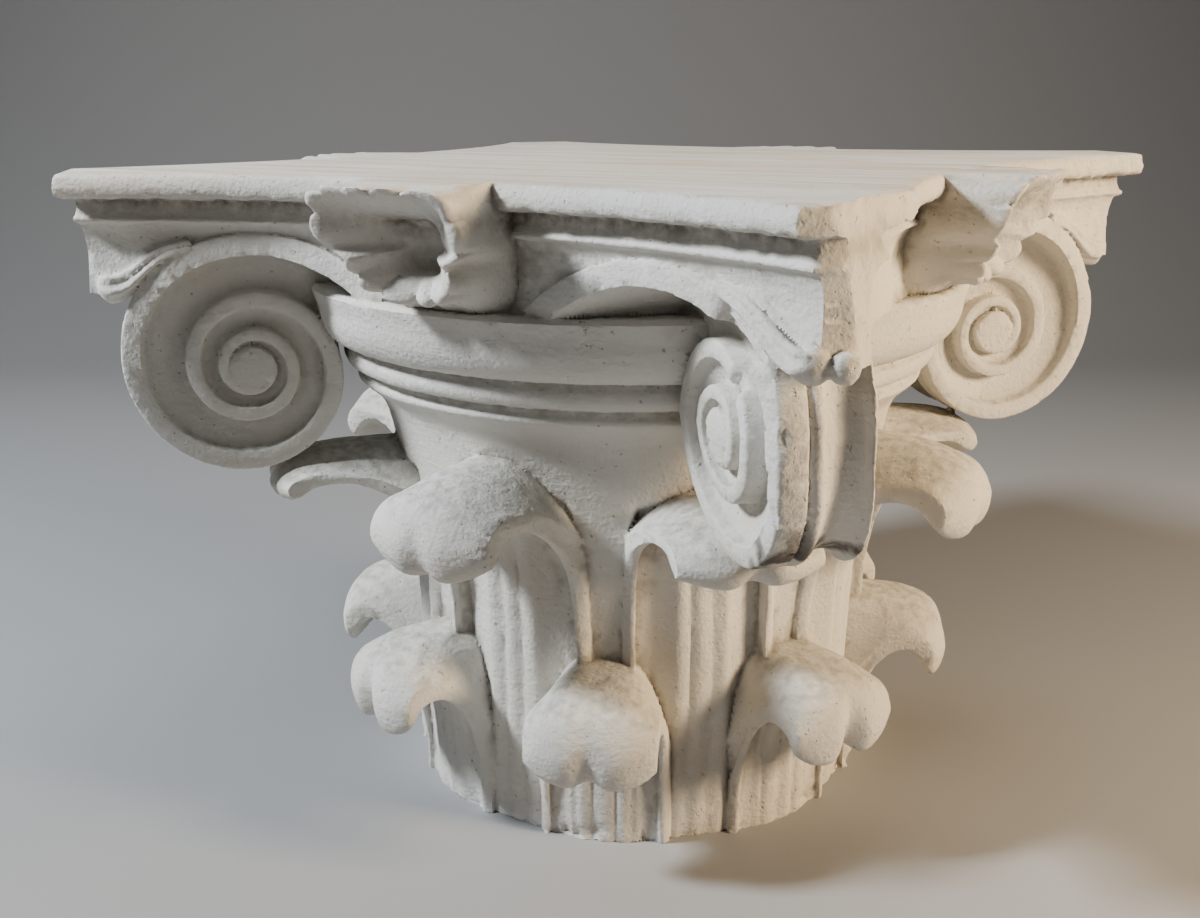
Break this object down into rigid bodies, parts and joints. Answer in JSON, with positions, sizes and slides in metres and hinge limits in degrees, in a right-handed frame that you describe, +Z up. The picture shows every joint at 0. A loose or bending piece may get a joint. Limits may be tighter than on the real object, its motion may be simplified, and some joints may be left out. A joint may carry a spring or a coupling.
{
  "type": "composite column capital",
  "caption": "Plaster cast of a column capital: a bell with two tiers of curled leaves, a plain ovolo, corner volutes and a hollow-sided abacus with side flowers; one abacus horn is broken.",
  "frame": {"origin": "centre of the underside, on the column's axis, at the level the capital rests on", "axes": "+Z up along the column's axis; -Y and +X are the two sides seen in the picture, the broken horn points between them"},
  "size_m": [0.5402, 0.5402, 0.405],
  "materials": {
    "plaster": "matte off-white cast plaster, dusty on top and dirty in the grooves"
  },
  "bodies": {
    "root": {"capital": "plaster"}
  },
  "joints": []
}
